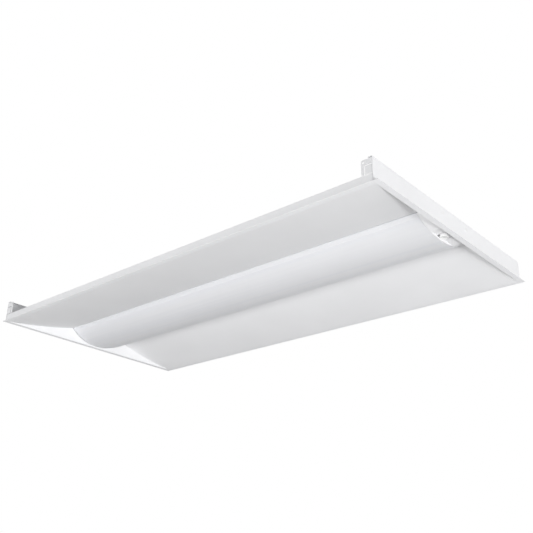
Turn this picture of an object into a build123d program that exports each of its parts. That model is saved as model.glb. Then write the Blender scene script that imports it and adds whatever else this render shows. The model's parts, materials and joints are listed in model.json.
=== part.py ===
from build123d import *
from math import sqrt
import os

# Recessed troffer light for a 2 ft x 4 ft opening in a suspended ceiling.
# Millimetres. Origin: centre of the ceiling flange's underside. +X runs along the
# length to the sensor end, +Y to the right long side, +Z up into the ceiling.

os.makedirs("parts", exist_ok=True)

# ---------------------------------------------------------------- overall form
length = 1212.0  # over the ceiling flanges
width = 602.0
depth = 53.0  # flange underside to the top of the end plates
sheet = 0.8  # steel sheet of the body
bend = 1.4  # outer radius of its folds
past = 1.0  # how far a cut runs past the face it opens
bar_sides = 12  # of rivets, small shanks and small bores

# ---------------------------------------------------------------- long sides
side_flange = 12.5  # underside that rests on the ceiling tee
rail_setback = 2.0  # rail wall in from the flange's edge
rail_height = 18.0
rail_lip = 8.0
slope_sag = 3.0  # how far the reflector bows below its chord
chamber_half = 94.4  # centre line to the channel wall's inner face
lens_edge_height = 32.0  # where the slope meets the channel wall
inner_flange = 9.0  # upturned edge behind the channel wall
wall_foot_gap = 0.5  # channel wall short of that height

# ---------------------------------------------------------------- ends
end_flange = 12.6
plate_setback = 11.0  # end plate's outer face in from the flange's edge
plate_inset = 1.5  # end plate in from the side flange's edge
plate_lip = 10.0
foot_reach = 8.9  # foot of the end plate, lying on the end flange
end_slope_run = 14.0  # how far the end slope leans in over the lens edge height
seam = 0.2  # gap where two folded sheets meet

# ---------------------------------------------------------------- lens
lens_low = 3.8  # lowest point of the arch above the flange underside
lens_wall = 2.0
lens_gap = 0.6  # lens to the arched cut-out of the end reflector
lens_end_gap = 1.0  # lens to the leaning end reflector, along X
lens_leg = 1.8  # thickness of the upright legs at its edges
lens_leg_height = 7.0
lens_bead = 0.8  # radius of the bead that runs inside each edge
lens_bead_inset = 9.5
rail_wall = 0.8  # U-shaped rail that takes a leg
rail_fit = 0.3  # leg to the rail, on each side
rail_end_gap = 14.0  # rail short of the end plate

# ---------------------------------------------------------------- sensor end
sensor_bay = 33.4  # lens end to the inner edge of the end flange
bay_gap = 1.5  # lens to sensor cover
cover_wall = 1.6
cover_flat_height = 9.2  # flat middle of the cover's underside
cover_wall_top = 33.0
sensor_inset = 12.5  # sensor's axis from the end of the lens
sensor_y = -8.0
bezel_radius = 9.5
bezel_bore_radius = 7.0
bezel_height = 6.35
bezel_round = 1.1
dish_mouth_radius = 15.0  # shallow dish pressed round the sensor
dish_floor_radius = 10.6
dish_depth = 3.0
body_radius = 6.5
body_height = 23.0
thread_gap = 0.05
eye_height = 1.9
eye_inset = 0.5
eye_bevel = 2.6  # how far in the crown's slope reaches
eye_crown = 0.7
nut_across = 18.0
nut_height = 4.0

# ---------------------------------------------------------------- LED tray
tray_flat_half = 62.0
tray_slope_run = 8.0
tray_flange = 14.0
tray_drop = 4.6  # tray web below the back channel
tray_end_gap = 19.0
board_width = 24.0
board_thickness = 1.6
board_row_y = 32.0
board_gap = 10.0
board_end_margin = 12.0
package_side = 3.0
package_height = 0.7
packages_per_board = 18
package_end_margin = 20.0
connector_length = 9.0
connector_width = 8.0
connector_height = 4.2
connector_inset = 1.0  # connectors in from the board's ends
jumper_radius = 0.8

# ---------------------------------------------------------------- back channel
channel_bead_y = 42.0
channel_bead_half = 5.0
channel_bead_depth = 1.0
angle_half_width = 60.0
angle_lip_half_width = 35.0  # lip between the channel's beads
angle_reach = 18.0
angle_bottom = 32.0

# ---------------------------------------------------------------- rivets
rivet_radius = 1.6
rivet_head_radius = 3.0
rivet_head_height = 0.8
rivet_chamfer = 0.3
rivet_gap = 0.05
end_rivet_y = 48.0
end_rivet_z = 38.0

# ---------------------------------------------------------------- corner brackets and clips
bracket_length = 24.2
bracket_return = 13.0
bracket_top = 50.0
bracket_round = 3.0
bracket_gap = 0.2  # above the rail's lip
wire_hole_radius = 2.25
wire_hole_inset = 4.5
wire_hole_drop = 5.6
strip_width = 6.0  # upright strip outside the slot
slot_width = 2.0
slot_top = 38.2
fold_margin = 1.4  # strip left at the fold
clip_gap = 0.5
clip_round = 1.0

# ---------------------------------------------------------------- driver box
box_width = 104.6
box_end_gap = 6.2  # to the end plate
box_side_gap = 0.2  # to the channel wall and the upturned edge beside it
box_wall = 1.0
box_foot = 10.0
box_seat = 0.25  # scribed lower edges to the reflector's back
knockout_radius = 11.1
knockout_gap = 0.1
knockout_height = 31.0
knockout_inset = 45.0
end_knockout_inset = 79.6
box_screw_radius = 1.9
box_screw_head_radius = 3.6
box_screw_head_height = 2.0
ground_inset = 51.6
ground_z = 41.0
supply_inset = 21.6  # supply connector in from the channel side of the box
connector_depth = 16.0
connector_across = 20.0
connector_low = 31.0
connector_tall = 10.0

# ---------------------------------------------------------------- driver
driver_length = 340.0
driver_width = 30.0
driver_height = 21.0
driver_inset = 52.6  # its middle in from the channel side of the box
driver_end_gap = 37.0
driver_round = 1.5
cap_length = 9.0
ear_length = 12.0
ear_thickness = 2.0
terminal_length = 12.0
terminal_width = 18.0
terminal_height = 11.0
terminal_hole_radius = 1.7
terminal_hole_depth = 6.0

# ---------------------------------------------------------------- access lid
lid_margin = 3.0  # lid to the end of the box
lid_length = 57.0
lid_driver_gap = 2.4  # lid to the head of the driver's screw
lid_side_margin = 16.6
lid_sheet = 0.8
lid_gap = 0.1
opening_margin = 7.0
knuckle_radius = 1.8
pin_radius = 1.0
pin_gap = 0.05
knuckle_wall_gap = 0.1
knuckle_length = 16.0
knuckle_gap = 0.4
lid_screw_radius = 1.7
lid_screw_head_radius = 3.5
lid_screw_head_height = 1.5
lid_screw_inset = 5.0
lid_screw_reach = 2.0
lid_screw_gap = 0.35

# ---------------------------------------------------------------- cables
cable_radius = 1.0
cable_pair_pitch = 2.3
cable_bend = 6.0
grommet_inset = 18.2  # in from the end plate
grommet_z = 45.5
grommet_bore_radius = 2.3
grommet_hole_radius = 3.0
grommet_flange_radius = 3.9
grommet_flange = 1.0
grommet_gap = 0.05
led_cable_turn = 20.0  # from the board's row to where the cable turns for the grommet
sensor_cable_turn = 30.0
plugged = 1.0  # how far a cable's end sits in what it plugs into

# ---------------------------------------------------------------- places worked out from the above
end_x = length / 2
slope_end_y = chamber_half + sheet
side_y = width / 2
flange_y = side_y - side_flange
flange_x = end_x - end_flange
rail_y = side_y - rail_setback
plate_x = end_x - plate_setback
plate_inner_x = plate_x - sheet
wall_top = depth - 2 * sheet
body_end_x = flange_x - seam
lean = end_slope_run / lens_edge_height
inner_flange_top = lens_edge_height + inner_flange

rail_pocket = lens_leg + 2 * rail_fit
rail_outer = chamber_half - rail_wall
leg_outer = rail_outer - rail_fit
leg_top = lens_edge_height + lens_leg_height
rail_top = leg_top + rail_fit + rail_wall
rail_bottom = lens_edge_height + 1.5 * rail_wall
lens_rise = lens_edge_height - lens_low
lens_radius = (chamber_half**2 + lens_rise**2) / (2 * lens_rise)
lens_centre_z = lens_low + lens_radius
lens_end_x = flange_x - sensor_bay
cover_start = lens_end_x + bay_gap

sensor_x = lens_end_x + sensor_inset
plate_half_width = side_y - plate_inset

tray_top = wall_top - tray_drop
board_top = tray_top - sheet
board_bottom = board_top - board_thickness
tray_start = -plate_inner_x + tray_end_gap
tray_end = lens_end_x - bay_gap
board_start = tray_start + board_end_margin
board_length = (tray_end - board_end_margin - board_start - board_gap) / 2

box_end = plate_inner_x - box_end_gap
box_inner_edge = chamber_half + sheet + box_side_gap
box_edge = box_inner_edge + box_width
end_knockout_y = box_inner_edge + end_knockout_inset
ground_y = box_inner_edge + ground_inset
connector_y = box_inner_edge + supply_inset
driver_y = box_inner_edge + driver_inset
driver_x = box_end - driver_end_gap - driver_length / 2
driver_screw_reach = driver_length / 2 + cap_length + ear_length / 2
grommet_x = plate_inner_x - grommet_inset
box_top = wall_top - sheet
box_ceiling = box_top - box_wall
driver_bottom = box_ceiling - driver_height
pin_y = box_edge + knuckle_wall_gap + knuckle_radius
lid_end = driver_x - driver_screw_reach - box_screw_head_radius - lid_driver_gap
lid_start = lid_end - lid_length
box_start = lid_start - lid_margin
knockout_x = box_start + knockout_inset
lid_inner_edge = box_inner_edge + lid_side_margin
lid_bottom = box_top + lid_gap
pin_z = lid_bottom - lid_gap - knuckle_radius
lid_top = lid_bottom + lid_sheet
lid_screw_y = lid_inner_edge + lid_screw_inset
lid_middle = (lid_start + lid_end) / 2


# ---------------------------------------------------------------- ways of working
def along_x(face, start, end):
    """A (y, z) profile drawn out from one station along the length to another."""
    return extrude(Plane.YZ.offset(start) * face, amount=end - start)


def along_y(face, start, end):
    """An (x, z) profile drawn out across the width."""
    plane = Plane(origin=(0, end, 0), x_dir=(1, 0, 0), z_dir=(0, -1, 0))
    return extrude(plane * face, amount=end - start)


def block(x0, x1, y0, y1, z0, z1):
    """A box between two corners."""
    centre = ((x0 + x1) / 2, (y0 + y1) / 2, (z0 + z1) / 2)
    return Pos(*centre) * Box(x1 - x0, y1 - y0, z1 - z0)


def area(x0, x1, y0, y1):
    """A flat rectangle between two corners."""
    return Pos((x0 + x1) / 2, (y0 + y1) / 2) * Rectangle(x1 - x0, y1 - y0)


def folded(lines, thickness, side):
    """The section of a folded sheet, from its line and the side the metal lies on."""
    edges = [edge for line in lines for edge in line.edges()]
    outline = Wire(edges).offset_2d(thickness, kind=Kind.INTERSECTION, side=side)
    return make_face(outline.edges())


def rod(x, y, z, radius, height, direction=(0, 0, 1)):
    """A round bar that starts at a point and runs along a direction."""
    plane = Plane(origin=(x, y, z), z_dir=direction)
    return extrude(plane * Circle(radius), amount=height)


def bar(x, y, z, radius, height, direction=(0, 0, 1)):
    """A small round bar or bore, drawn with flat sides to keep its faces few."""
    plane = Plane(origin=(x, y, z), z_dir=direction)
    return extrude(plane * RegularPolygon(radius, bar_sides), amount=height)


def hexagon(x, y, z, across, height):
    """An upright hexagonal bar, with two flats square to the length."""
    outline = RegularPolygon(across / 2, 6, major_radius=False, rotation=30)
    return extrude(Pos(x, y, z) * outline, amount=height)


def both_ways(piece, about):
    """A piece and its mirror image."""
    return [piece, mirror(piece, about=about)]


def tube(points, radius, turn):
    """A cable along straight runs joined by arcs, with a hexagonal section in place of a round one."""
    path = FilletPolyline(*points, radius=turn)
    section = Plane(origin=path @ 0, z_dir=path % 0) * RegularPolygon(radius, 6)
    return sweep(section, path=path)


def hem(edge, tuck):
    """Doubled edge of a flange, rounded on its outer side."""
    strip = area(edge - tuck, edge, 0, 2 * sheet)
    corners = strip.vertices().group_by(Axis.X)[-1]
    return fillet(corners, 0.6 * sheet)


# ---------------------------------------------------------------- reflectors
def slope_line(lift=0.0):
    """Visible underside of the right slope, from flange to channel wall."""
    start = (flange_y, lift)
    return SagittaArc(start, (slope_end_y, lens_edge_height + lift), slope_sag)


def above_slope(lift):
    """Region above the right slope's underside, raised by lift."""
    top = 2 * depth
    far = side_y + lens_edge_height
    sides = Polyline(
        (slope_end_y, lens_edge_height + lift),
        (slope_end_y, top),
        (far, top),
        (far, lift),
        (flange_y, lift),
    )
    return make_face([*slope_line(lift).edges(), *sides.edges()])


def side_reflector():
    """Right side sheet: rail, hemmed flange, slope and the edge behind the channel wall."""
    rail = FilletPolyline(
        (rail_y - rail_lip, rail_height),
        (rail_y, rail_height),
        (rail_y, 0),
        (flange_y, 0),
        radius=[bend, bend],
    )
    edge = Polyline((slope_end_y, lens_edge_height), (slope_end_y, inner_flange_top))
    section = folded([rail, slope_line(), edge], sheet, Side.RIGHT)
    section += hem(side_y, rail_setback + sheet)
    return along_x(section, -body_end_x, body_end_x)


def end_reflector():
    """Sensor end sheet: hemmed flange and leaning slope, scribed to the sides and the lens."""
    line = Polyline((end_x, 0), (flange_x, 0), (flange_x - end_slope_run, lens_edge_height))
    section = folded([line], sheet, Side.RIGHT)
    section += hem(end_x, 2 * sheet)
    body = along_y(section, -side_y, side_y)
    inner = flange_x - 2 * end_slope_run
    for cutter in both_ways(along_x(above_slope(-seam), inner, flange_x), Plane.XZ):
        body -= cutter
    arch = Pos(0, lens_centre_z) * Circle(lens_radius + lens_gap)
    arch &= area(-slope_end_y, slope_end_y, 0, 2 * depth)
    return body - along_x(arch, inner, end_x - end_flange / 2)


# ---------------------------------------------------------------- rivets
def end_rivet_bar(start, radius, reach):
    """Bar along the length at the station of an end plate's rivet."""
    return bar(start, end_rivet_y, end_rivet_z, radius, reach, (1, 0, 0))


def end_rivets():
    """The two rivets that tie the sensor end's plate to its angle."""
    head = end_rivet_bar(plate_x, rivet_head_radius, rivet_head_height)
    head = chamfer(head.edges().group_by(Axis.X)[-1], rivet_chamfer)
    piece = head + end_rivet_bar(plate_x - 2 * sheet, rivet_radius, 2 * sheet)
    return both_ways(piece, Plane.XZ)


def end_rivet_holes():
    """Holes for the end rivets through plate and angle."""
    radius = rivet_radius + rivet_gap
    hole = end_rivet_bar(plate_x - 2 * sheet - past, radius, 2 * sheet + 2 * past)
    return both_ways(hole, Plane.XZ)


# ---------------------------------------------------------------- ends and back
def end_plate():
    """Sensor end's upright sheet, with a foot on the end flange and a lip over the channel."""
    line = FilletPolyline(
        (plate_x + foot_reach, 2 * sheet),
        (plate_x, 2 * sheet),
        (plate_x, depth),
        (plate_x - plate_lip, depth),
        radius=[bend - sheet, bend],
    )
    section = folded([line], sheet, Side.LEFT)
    body = along_y(section, -plate_half_width, plate_half_width)
    for hole in end_rivet_holes():
        body -= hole
    return body


def end_angle():
    """Angle that ties the back channel to the end plate."""
    line = FilletPolyline(
        (plate_inner_x, angle_bottom),
        (plate_inner_x, wall_top),
        (plate_inner_x - angle_reach, wall_top),
        radius=bend,
    )
    section = folded([line], sheet, Side.LEFT)
    body = along_y(section, -angle_half_width, angle_half_width)
    beside = (body_end_x - angle_reach, plate_inner_x - sheet)
    for cut in both_ways(block(*beside, angle_lip_half_width, side_y, 0, depth), Plane.XZ):
        body -= cut
    for hole in end_rivet_holes():
        body -= hole
    return body


def channel_block(inset, low):
    """Section of the space inside the back channel's outer faces, less an inset all round."""
    high = wall_top + sheet - inset
    half = chamber_half + sheet - inset
    section = area(-half, half, low, high)
    corners = section.vertices().group_by(Axis.Y)[-1]
    return fillet(corners, bend - inset)


def back_channel():
    """Deep channel over the light chamber, with two stiffening beads pressed along its top."""
    foot = lens_edge_height + wall_foot_gap
    section = channel_block(0, foot) - channel_block(sheet, foot - past)
    top = wall_top + sheet
    low = top - channel_bead_depth
    flat = channel_bead_half - 2 * channel_bead_depth
    for y in (-channel_bead_y, channel_bead_y):
        wide = [(y - channel_bead_half, top), (y + channel_bead_half, top)]
        narrow = [(y + flat, low), (y - flat, low)]
        bead = make_face(Polyline(*wide, *narrow, close=True))
        section += Pos(0, -sheet) * bead
        section -= bead
    return along_x(section, -body_end_x, body_end_x)


# ---------------------------------------------------------------- lens and its rails
def leaning_block(gap):
    """Everything short of the leaning end reflector, by a gap along X."""
    foot = flange_x - gap
    top = 2 * depth
    profile = Polyline(
        (-end_x, -depth),
        (foot + lean * depth, -depth),
        (foot - lean * top, top),
        (-end_x, top),
        close=True,
    )
    return along_y(make_face(profile), -side_y, side_y)


def arch_shell(wall, low):
    """Section of an arched shell between the rails, flattened below a height, with its legs."""
    outer = Pos(0, lens_centre_z) * Circle(lens_radius)
    inner = Pos(0, lens_centre_z) * Circle(lens_radius - wall)
    outer &= area(-leg_outer, leg_outer, low, lens_edge_height + wall)
    shell = outer - (inner & area(-leg_outer, leg_outer, low + wall, 2 * depth))
    for side in (-1, 1):
        outer_edge = side * leg_outer
        inner_edge = side * (leg_outer - lens_leg)
        low_y, high_y = sorted((outer_edge, inner_edge))
        shell += area(low_y, high_y, lens_edge_height - wall / 2, leg_top)
    return shell


def lens():
    """Arched lens with upright legs and a fine bead inside each edge."""
    section = arch_shell(lens_wall, 0.0)
    bead_y = leg_outer - lens_bead_inset
    bead_z = lens_centre_z - sqrt(lens_radius**2 - bead_y**2)
    for side in (-1, 1):
        section += Pos(side * bead_y, bead_z) * Circle(lens_bead)
    body = along_x(section, -end_x, lens_end_x)
    return body & mirror(leaning_block(lens_end_gap), about=Plane.YZ)


def lens_rail():
    """Right U-shaped rail on the channel's wall, open downwards to take the lens' leg."""
    inner = rail_outer - rail_pocket
    line = Polyline(
        (chamber_half, rail_bottom),
        (chamber_half, rail_top),
        (inner - rail_wall, rail_top),
        (inner - rail_wall, rail_bottom),
    )
    section = folded([line], rail_wall, Side.LEFT)
    reach = plate_inner_x - rail_end_gap
    return along_x(section, -reach, reach)


# ---------------------------------------------------------------- sensor end
def sensor_cover():
    """Cover between lens and end reflector, with a flat seat for the sensor.

    A wall across its edge next to the lens closes the lens' open end.
    """
    section = arch_shell(cover_wall, cover_flat_height)
    body = along_x(section, cover_start, end_x)
    inside = Pos(0, lens_centre_z) * Circle(lens_radius)
    inside &= area(-leg_outer, leg_outer, 0, cover_wall_top)
    body += along_x(inside, cover_start, cover_start + cover_wall)
    boss_radius = dish_mouth_radius + cover_wall
    boss = rod(sensor_x, sensor_y, cover_flat_height, boss_radius, dish_depth + cover_wall)
    body += boss - block(0, cover_start, -side_y, side_y, 0, depth)
    body &= leaning_block(lens_end_gap)
    flare = (dish_mouth_radius - dish_floor_radius) / dish_depth
    dish = Cone(dish_mouth_radius + flare * past, dish_floor_radius, dish_depth + past)
    body -= Pos(sensor_x, sensor_y, cover_flat_height + (dish_depth - past) / 2) * dish
    return body - rod(sensor_x, sensor_y, 0, body_radius + thread_gap, depth)


seat_z = cover_flat_height + dish_depth
eye_z = seat_z - bezel_height


def sensor_bezel():
    """White ring round the sensor's eye."""
    ring = rod(sensor_x, sensor_y, eye_z, bezel_radius, bezel_height)
    edge = ring.edges().filter_by(GeomType.CIRCLE).sort_by(Axis.Z)[0]
    ring = chamfer(edge, bezel_round)
    return ring - rod(sensor_x, sensor_y, eye_z - past, bezel_bore_radius, bezel_height + 2 * past)


def sensor_eye():
    """Low faceted crown of the sensor's window, set a little inside the ring."""
    low = eye_z + eye_inset
    window = bar(sensor_x, sensor_y, low, bezel_bore_radius - thread_gap, eye_height)
    return chamfer(window.edges().group_by(Axis.Z)[0], eye_crown, eye_bevel)


def sensor_body():
    """Threaded can that passes up through the cover, with its front behind the window."""
    front = eye_z + eye_inset + eye_height
    body = rod(sensor_x, sensor_y, front, bezel_bore_radius - thread_gap, seat_z - front)
    return body + rod(sensor_x, sensor_y, seat_z, body_radius, body_height)


def sensor_nut():
    """Hexagon nut that clamps the sensor to the cover's seat."""
    bottom = seat_z + cover_wall
    nut = hexagon(sensor_x, sensor_y, bottom, nut_across, nut_height)
    hole = body_radius + thread_gap
    return nut - rod(sensor_x, sensor_y, bottom - past, hole, nut_height + 2 * past)


# ---------------------------------------------------------------- LED tray
def led_tray():
    """Shallow hat-shaped tray hung under the back channel."""
    slope_end = tray_flat_half + tray_slope_run
    edge = slope_end + tray_flange
    points = [(edge, wall_top), (slope_end, wall_top), (tray_flat_half, tray_top)]
    mirrored = [(-y, z) for y, z in points]
    section = folded([Polyline(*mirrored, *points[::-1])], sheet, Side.RIGHT)
    return along_x(section, tray_start, tray_end)


def board_span(index):
    """Start and end along the length of the first or second board in a row."""
    start = board_start + index * (board_length + board_gap)
    return start, start + board_length


def led_board(index, side):
    """One LED board on the underside of the tray."""
    start, end = board_span(index)
    y = side * board_row_y
    return block(start, end, y - board_width / 2, y + board_width / 2, board_bottom, board_top)


def led_packages(index, side):
    """The row of LED packages on one board."""
    start, end = board_span(index)
    first = start + package_end_margin
    pitch = (end - start - 2 * package_end_margin) / (packages_per_board - 1)
    half = package_side / 2
    y = side * board_row_y
    z = board_bottom - package_height
    stations = [first + i * pitch for i in range(packages_per_board)]
    return [block(x - half, x + half, y - half, y + half, z, board_bottom) for x in stations]


def board_connectors():
    """Plug-in connectors at both ends of every board."""
    pieces = []
    for side in (-1, 1):
        for index in (0, 1):
            start, end = board_span(index)
            for x in (start + connector_inset, end - connector_inset - connector_length):
                y = side * board_row_y
                half = connector_width / 2
                low = board_bottom - connector_height
                span = (x, x + connector_length, y - half, y + half, low, board_bottom)
                pieces.append(block(*span))
    return pieces


def board_jumpers():
    """Short leads that join the two boards of each row."""
    start = board_span(0)[1] - connector_inset
    section = RegularPolygon(jumper_radius, 6)
    pieces = []
    for side in (-1, 1):
        origin = (start, side * board_row_y, board_bottom - connector_height / 2)
        place = Plane(origin=origin, z_dir=(1, 0, 0))
        pieces.append(extrude(place * section, amount=board_gap + 2 * connector_inset))
    return pieces


# ---------------------------------------------------------------- corner brackets and clips
bracket_bottom = rail_height + bracket_gap
bracket_start = plate_inner_x - bracket_length
clip_start = bracket_start + strip_width + slot_width
fold_x = plate_inner_x - fold_margin
clip_end = fold_x - clip_gap
face_inner = plate_half_width - sheet


def corner_bracket():
    """Angle in the sensor end's right corner: the slotted face and its return behind the plate."""
    face = area(bracket_start, plate_inner_x, bracket_bottom, bracket_top)
    corner = face.vertices().group_by(Axis.X)[0].sort_by(Axis.Y)[-1]
    face = fillet(corner, bracket_round)
    face -= area(bracket_start + strip_width, fold_x, bracket_bottom, slot_top)
    hole = (bracket_start + wire_hole_inset, bracket_top - wire_hole_drop)
    face -= Pos(*hole) * Circle(wire_hole_radius)
    outer = along_y(face, face_inner, plate_half_width)
    low_y = plate_half_width - bracket_return
    start = plate_inner_x - sheet
    return outer + block(start, plate_inner_x, low_y, plate_half_width, bracket_bottom, bracket_top)


def grid_clip():
    """Tab inside the bracket's slot, bent outward over the ceiling tee."""
    bottom = rail_height + clip_gap
    top = slot_top - slot_width
    face = area(clip_start, clip_end, bottom, top)
    free = face.vertices().group_by(Axis.X)[0]
    face = fillet(free, clip_round)
    return along_y(face, face_inner, plate_half_width)


# ---------------------------------------------------------------- driver box
def end_knockout(grow=0.0):
    """Round plug of the box's end wall."""
    radius = knockout_radius - (0 if grow else knockout_gap)
    length_through = box_wall + 2 * grow
    place = (box_start - grow, end_knockout_y, knockout_height)
    return rod(*place, radius, length_through, (1, 0, 0))


def driver_box():
    """Cover over the driver, scribed to the reflector's back, with a foot and hinge knuckles.

    Its inner edge lies against the channel wall and clears the reflector's upturned edge.
    """
    body = block(box_start, box_end, box_inner_edge, box_edge, 0, box_top)
    inner_start = box_start + box_wall
    inner_end = box_end - box_wall
    body -= block(inner_start, inner_end, 0, box_edge - box_wall, 0, box_ceiling)
    lift = sheet + box_seat
    foot = above_slope(lift) - above_slope(lift + box_wall)
    foot_edge = box_edge + box_foot
    inner = slope_end_y + sheet + box_side_gap
    body -= block(box_start, box_end, 0, inner, 0, inner_flange_top + box_side_gap)
    foot &= area(box_edge - box_wall, foot_edge, 0, depth)
    body &= along_x(above_slope(lift), box_start, box_end)
    body += along_x(foot, box_start, box_end)
    outside = box_start - past
    through = box_wall + 2 * past
    entry = (knockout_x, box_edge - box_wall - past, knockout_height)
    body -= rod(*entry, knockout_radius, through, (0, 1, 0))
    body -= end_knockout(past)
    hole = box_screw_radius + rivet_gap
    body -= bar(outside, ground_y, ground_z, hole, through, (1, 0, 0))
    for x in driver_screw_stations():
        body -= bar(x, driver_y, box_ceiling - past, hole, through)
    opening = (lid_start + opening_margin, lid_end - opening_margin)
    across = (lid_inner_edge + 2 * lid_screw_inset, box_edge - opening_margin)
    body -= block(*opening, *across, box_ceiling - past, box_top + past)
    hole = lid_screw_radius + lid_screw_gap
    body -= bar(lid_middle, lid_screw_y, box_ceiling - past, hole, through)
    for centre in (lid_start + knuckle_length / 2, lid_end - knuckle_length / 2):
        body += knuckle(centre - knuckle_length / 2, centre + knuckle_length / 2, False)
    return body


def knuckle(start, end, on_lid):
    """One knuckle of the lid's hinge, with the web that joins it to the box or the lid."""
    barrel = rod(start, pin_y, pin_z, knuckle_radius, end - start, (1, 0, 0))
    half = knuckle_radius / 2
    if on_lid:
        barrel += block(start, end, pin_y - half, pin_y + half, pin_z, lid_top)
    else:
        barrel += block(start, end, box_edge - box_wall, pin_y, pin_z - half, pin_z + half)
    bore = pin_radius + pin_gap
    return barrel - rod(start - past, pin_y, pin_z, bore, end - start + 2 * past, (1, 0, 0))


def knockout_disc():
    """Knock-out disc still in place in the box's end wall."""
    return end_knockout()


def screw(x, y, z, grip, direction, head_radius, head_height, shank_radius):
    """Pan-headed screw seated on a face at a point, with its shank behind it."""
    tail = Vector(x, y, z) - Vector(*direction) * grip
    head = rod(x, y, z, head_radius, head_height, direction)
    return head + bar(*tail, shank_radius, grip, direction)


def ground_screw():
    """Screw for the ground lead, inside the box's end wall."""
    size = (box_screw_head_radius, box_screw_head_height, box_screw_radius)
    start = box_start + box_wall
    return screw(start, ground_y, ground_z, box_wall, (1, 0, 0), *size)


# ---------------------------------------------------------------- driver
def driver_ends():
    """Stations of the two ends of the driver's metal case."""
    return driver_x - driver_length / 2, driver_x + driver_length / 2


def driver_screw_stations():
    """Stations of the screws that hold the driver's ears."""
    return driver_x - driver_screw_reach, driver_x + driver_screw_reach


def driver_case():
    """Long metal case of the LED driver, rounded along its lower edges."""
    start, end = driver_ends()
    half = driver_width / 2
    body = block(start, end, driver_y - half, driver_y + half, driver_bottom, box_ceiling)
    lower = body.edges().filter_by(Axis.X).group_by(Axis.Z)[0]
    return fillet(lower, driver_round)


def driver_end_caps():
    """Moulded caps at both ends of the driver, each with a fixing ear."""
    caps = []
    half = driver_width / 2
    low = driver_bottom
    screw_hole = box_screw_radius + rivet_gap
    for x, out, screw_x in zip(driver_ends(), (-1, 1), driver_screw_stations()):
        span = sorted((x, x + out * cap_length))
        ear_end = x + out * (cap_length + ear_length)
        ear = sorted((x, ear_end))
        cap = block(*span, driver_y - half, driver_y + half, low, box_ceiling)
        cap += block(*ear, driver_y - half, driver_y + half, box_ceiling - ear_thickness, box_ceiling)
        hole_z = box_ceiling - ear_thickness - past
        cap -= bar(screw_x, driver_y, hole_z, screw_hole, ear_thickness + 2 * past)
        caps.append(cap)
    return caps


def driver_screws():
    """Screws down through the box's top into the driver's ears."""
    size = (box_screw_head_radius, box_screw_head_height, box_screw_radius)
    grip = box_wall + ear_thickness
    return [screw(x, driver_y, box_top, grip, (0, 0, 1), *size) for x in driver_screw_stations()]


def terminal(end_index):
    """Push-in terminal on one end of the driver, with two wire holes."""
    out = (-1, 1)[end_index]
    face = driver_ends()[end_index] + out * cap_length
    span = sorted((face, face + out * terminal_length))
    half = terminal_width / 2
    low = driver_bottom
    body = block(*span, driver_y - half, driver_y + half, low, low + terminal_height)
    z = low + terminal_height / 2
    mouth = face + out * (terminal_length - terminal_hole_depth)
    for side in (-1, 1):
        y = driver_y + side * half / 2
        body -= bar(mouth, y, z, terminal_hole_radius, terminal_hole_depth + past, (out, 0, 0))
    return body


def supply_connector():
    """Push-in connector on the box's end wall, open at one side to the leads."""
    start = box_start + box_wall
    end = start + connector_depth
    half = connector_across / 2
    low = connector_low
    high = low + connector_tall
    body = block(start, end, connector_y - half, connector_y + half, low, high)
    z = low + connector_tall / 2
    mouth = end - terminal_hole_depth
    for side in (-1, 1):
        y = connector_y + side * terminal_width / 4
        body -= bar(mouth, y, z, terminal_hole_radius, terminal_hole_depth + past, (1, 0, 0))
    return body


def supply_leads():
    """Two leads from the supply connector to the driver's input terminal."""
    leads = []
    start = box_start + box_wall + connector_depth - terminal_hole_depth + plugged
    end = driver_ends()[0] - cap_length - terminal_length + terminal_hole_depth - plugged
    low_z = connector_low + connector_tall / 2
    high_z = driver_bottom + terminal_height / 2
    for side in (-1, 1):
        shift = side * terminal_width / 4
        first = (start + connector_depth, connector_y + shift, low_z)
        last = (end - connector_depth, driver_y + shift, high_z)
        ends = (start, connector_y + shift, low_z), (end, driver_y + shift, high_z)
        leads.append(tube([ends[0], first, last, ends[1]], cable_radius, cable_bend))
    return leads


# ---------------------------------------------------------------- access lid
def access_lid():
    """Lid over the wiring space, with the middle knuckle of its hinge."""
    body = block(lid_start, lid_end, lid_inner_edge, pin_y, lid_bottom, lid_top)
    start = lid_start + knuckle_length + knuckle_gap
    end = lid_end - knuckle_length - knuckle_gap
    body += knuckle(start, end, True)
    hole = lid_screw_radius + rivet_gap
    return body - bar(lid_middle, lid_screw_y, lid_bottom - past, hole, lid_sheet + 2 * past)


def lid_pin():
    """Pin of the lid's hinge."""
    return rod(lid_start, pin_y, pin_z, pin_radius, lid_end - lid_start, (1, 0, 0))


def lid_screw():
    """Captive screw that closes the lid."""
    size = (lid_screw_head_radius, lid_screw_head_height, lid_screw_radius)
    grip = lid_sheet + lid_screw_reach
    return screw(lid_middle, lid_screw_y, lid_top, grip, (0, 0, 1), *size)


# ---------------------------------------------------------------- cables
def grommet_hole():
    """Hole through the channel's right wall for both cables."""
    start = chamber_half - sheet
    return bar(grommet_x, start, grommet_z, grommet_hole_radius, 3 * sheet, (0, 1, 0))


def cable_grommet():
    """Rubber grommet in the channel's wall."""
    inner = chamber_half - grommet_flange
    reach = sheet + 2 * grommet_flange
    radius = grommet_hole_radius - grommet_gap
    body = bar(grommet_x, inner, grommet_z, radius, reach, (0, 1, 0))
    for y in (inner, chamber_half + sheet):
        body += bar(grommet_x, y, grommet_z, grommet_flange_radius, grommet_flange, (0, 1, 0))
    length_through = reach + 2 * past
    start = inner - past
    return body - bar(grommet_x, start, grommet_z, grommet_bore_radius, length_through, (0, 1, 0))


def to_terminal(x, side):
    """Points of a cable from the grommet to one hole of the driver's output terminal."""
    end = driver_ends()[1] + cap_length + terminal_length
    z = driver_bottom + terminal_height / 2
    y = driver_y + side * terminal_width / 4
    mouth = end - terminal_hole_depth + plugged
    return [(x, y, grommet_z), (x, y, z), (mouth, y, z)]


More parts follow.
